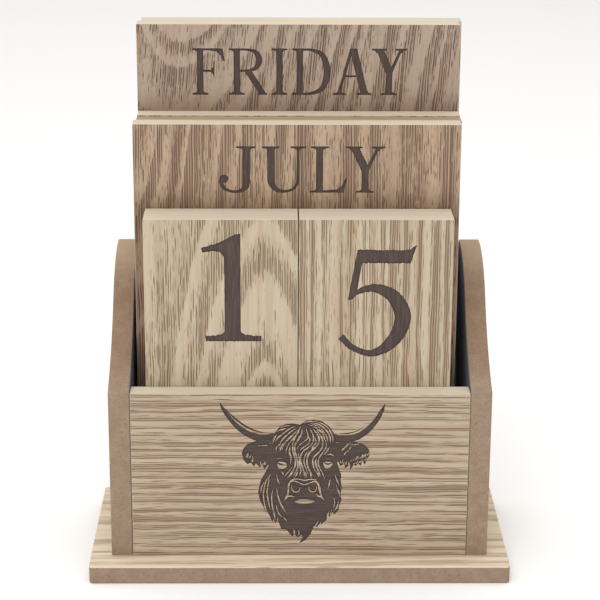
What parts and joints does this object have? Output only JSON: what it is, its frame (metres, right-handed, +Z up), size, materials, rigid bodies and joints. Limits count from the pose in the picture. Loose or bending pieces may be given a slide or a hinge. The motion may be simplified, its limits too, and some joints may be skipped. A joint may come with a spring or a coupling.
{
  "type": "flip desk calendar",
  "caption": "Wooden desk calendar: an open box with curved sides on a base board, holding loose lettered tiles for the date, month and weekday.",
  "frame": {"origin": "middle of the base board's underside, on the surface that the calendar stands on", "axes": "+Z up, front faces -Y, +X to the right seen from the front"},
  "size_m": [0.16, 0.0764, 0.2038],
  "materials": {
    "face_veneer": "matte, open-pored straight-grained veneer",
    "tile_veneer": "matte, open-pored flat-cut veneer with engraved labels",
    "pale_core": "matte, sanded plain light wood",
    "fibreboard": "matte, bare sanded fibreboard, painted black inside the box",
    "screw_steel": "zinc plated"
  },
  "bodies": {
    "box": {"base_board": "fibreboard", "base_veneer": "face_veneer", "base_screws": "screw_steel", "side_left": "fibreboard", "side_left_veneer": "face_veneer", "side_right": "fibreboard", "side_right_veneer": "face_veneer", "front_panel": "pale_core", "front_veneer": "face_veneer", "back_panel": "fibreboard", "back_veneer": "face_veneer"},
    "number_tile_left_front": {"number_tile_left_front_core": "pale_core", "number_tile_left_front_face": "tile_veneer", "number_tile_left_front_reverse": "tile_veneer"},
    "number_tile_right_front": {"number_tile_right_front_core": "pale_core", "number_tile_right_front_face": "tile_veneer", "number_tile_right_front_reverse": "tile_veneer"},
    "number_tile_left_back": {"number_tile_left_back_core": "pale_core", "number_tile_left_back_face": "tile_veneer", "number_tile_left_back_reverse": "tile_veneer"},
    "number_tile_right_back": {"number_tile_right_back_core": "pale_core", "number_tile_right_back_face": "tile_veneer", "number_tile_right_back_reverse": "tile_veneer"},
    "month_tile_front": {"month_tile_front_core": "pale_core", "month_tile_front_face": "tile_veneer", "month_tile_front_reverse": "tile_veneer"},
    "month_tile_middle": {"month_tile_middle_core": "pale_core", "month_tile_middle_face": "tile_veneer", "month_tile_middle_reverse": "tile_veneer"},
    "month_tile_back": {"month_tile_back_core": "pale_core", "month_tile_back_face": "tile_veneer", "month_tile_back_reverse": "tile_veneer"},
    "day_tile_front": {"day_tile_front_core": "pale_core", "day_tile_front_face": "tile_veneer", "day_tile_front_reverse": "tile_veneer"},
    "day_tile_back": {"day_tile_back_core": "pale_core", "day_tile_back_face": "tile_veneer", "day_tile_back_reverse": "tile_veneer"}
  },
  "joints": [
    {"name": "number_tile_left_front_lift", "type": "slide", "parent": "box", "child": "number_tile_left_front", "axis": [0, 0, 1], "range_m": [0, 0.11]},
    {"name": "number_tile_right_front_lift", "type": "slide", "parent": "box", "child": "number_tile_right_front", "axis": [0, 0, 1], "range_m": [0, 0.11]},
    {"name": "number_tile_left_back_lift", "type": "slide", "parent": "box", "child": "number_tile_left_back", "axis": [0, 0, 1], "range_m": [0, 0.11]},
    {"name": "number_tile_right_back_lift", "type": "slide", "parent": "box", "child": "number_tile_right_back", "axis": [0, 0, 1], "range_m": [0, 0.11]},
    {"name": "month_tile_front_lift", "type": "slide", "parent": "box", "child": "month_tile_front", "axis": [0, 0, 1], "range_m": [0, 0.11]},
    {"name": "month_tile_middle_lift", "type": "slide", "parent": "box", "child": "month_tile_middle", "axis": [0, 0, 1], "range_m": [0, 0.11]},
    {"name": "month_tile_back_lift", "type": "slide", "parent": "box", "child": "month_tile_back", "axis": [0, 0, 1], "range_m": [0, 0.11]},
    {"name": "day_tile_front_lift", "type": "slide", "parent": "box", "child": "day_tile_front", "axis": [0, 0, 1], "range_m": [0, 0.11]},
    {"name": "day_tile_back_lift", "type": "slide", "parent": "box", "child": "day_tile_back", "axis": [0, 0, 1], "range_m": [0, 0.11]}
  ]
}
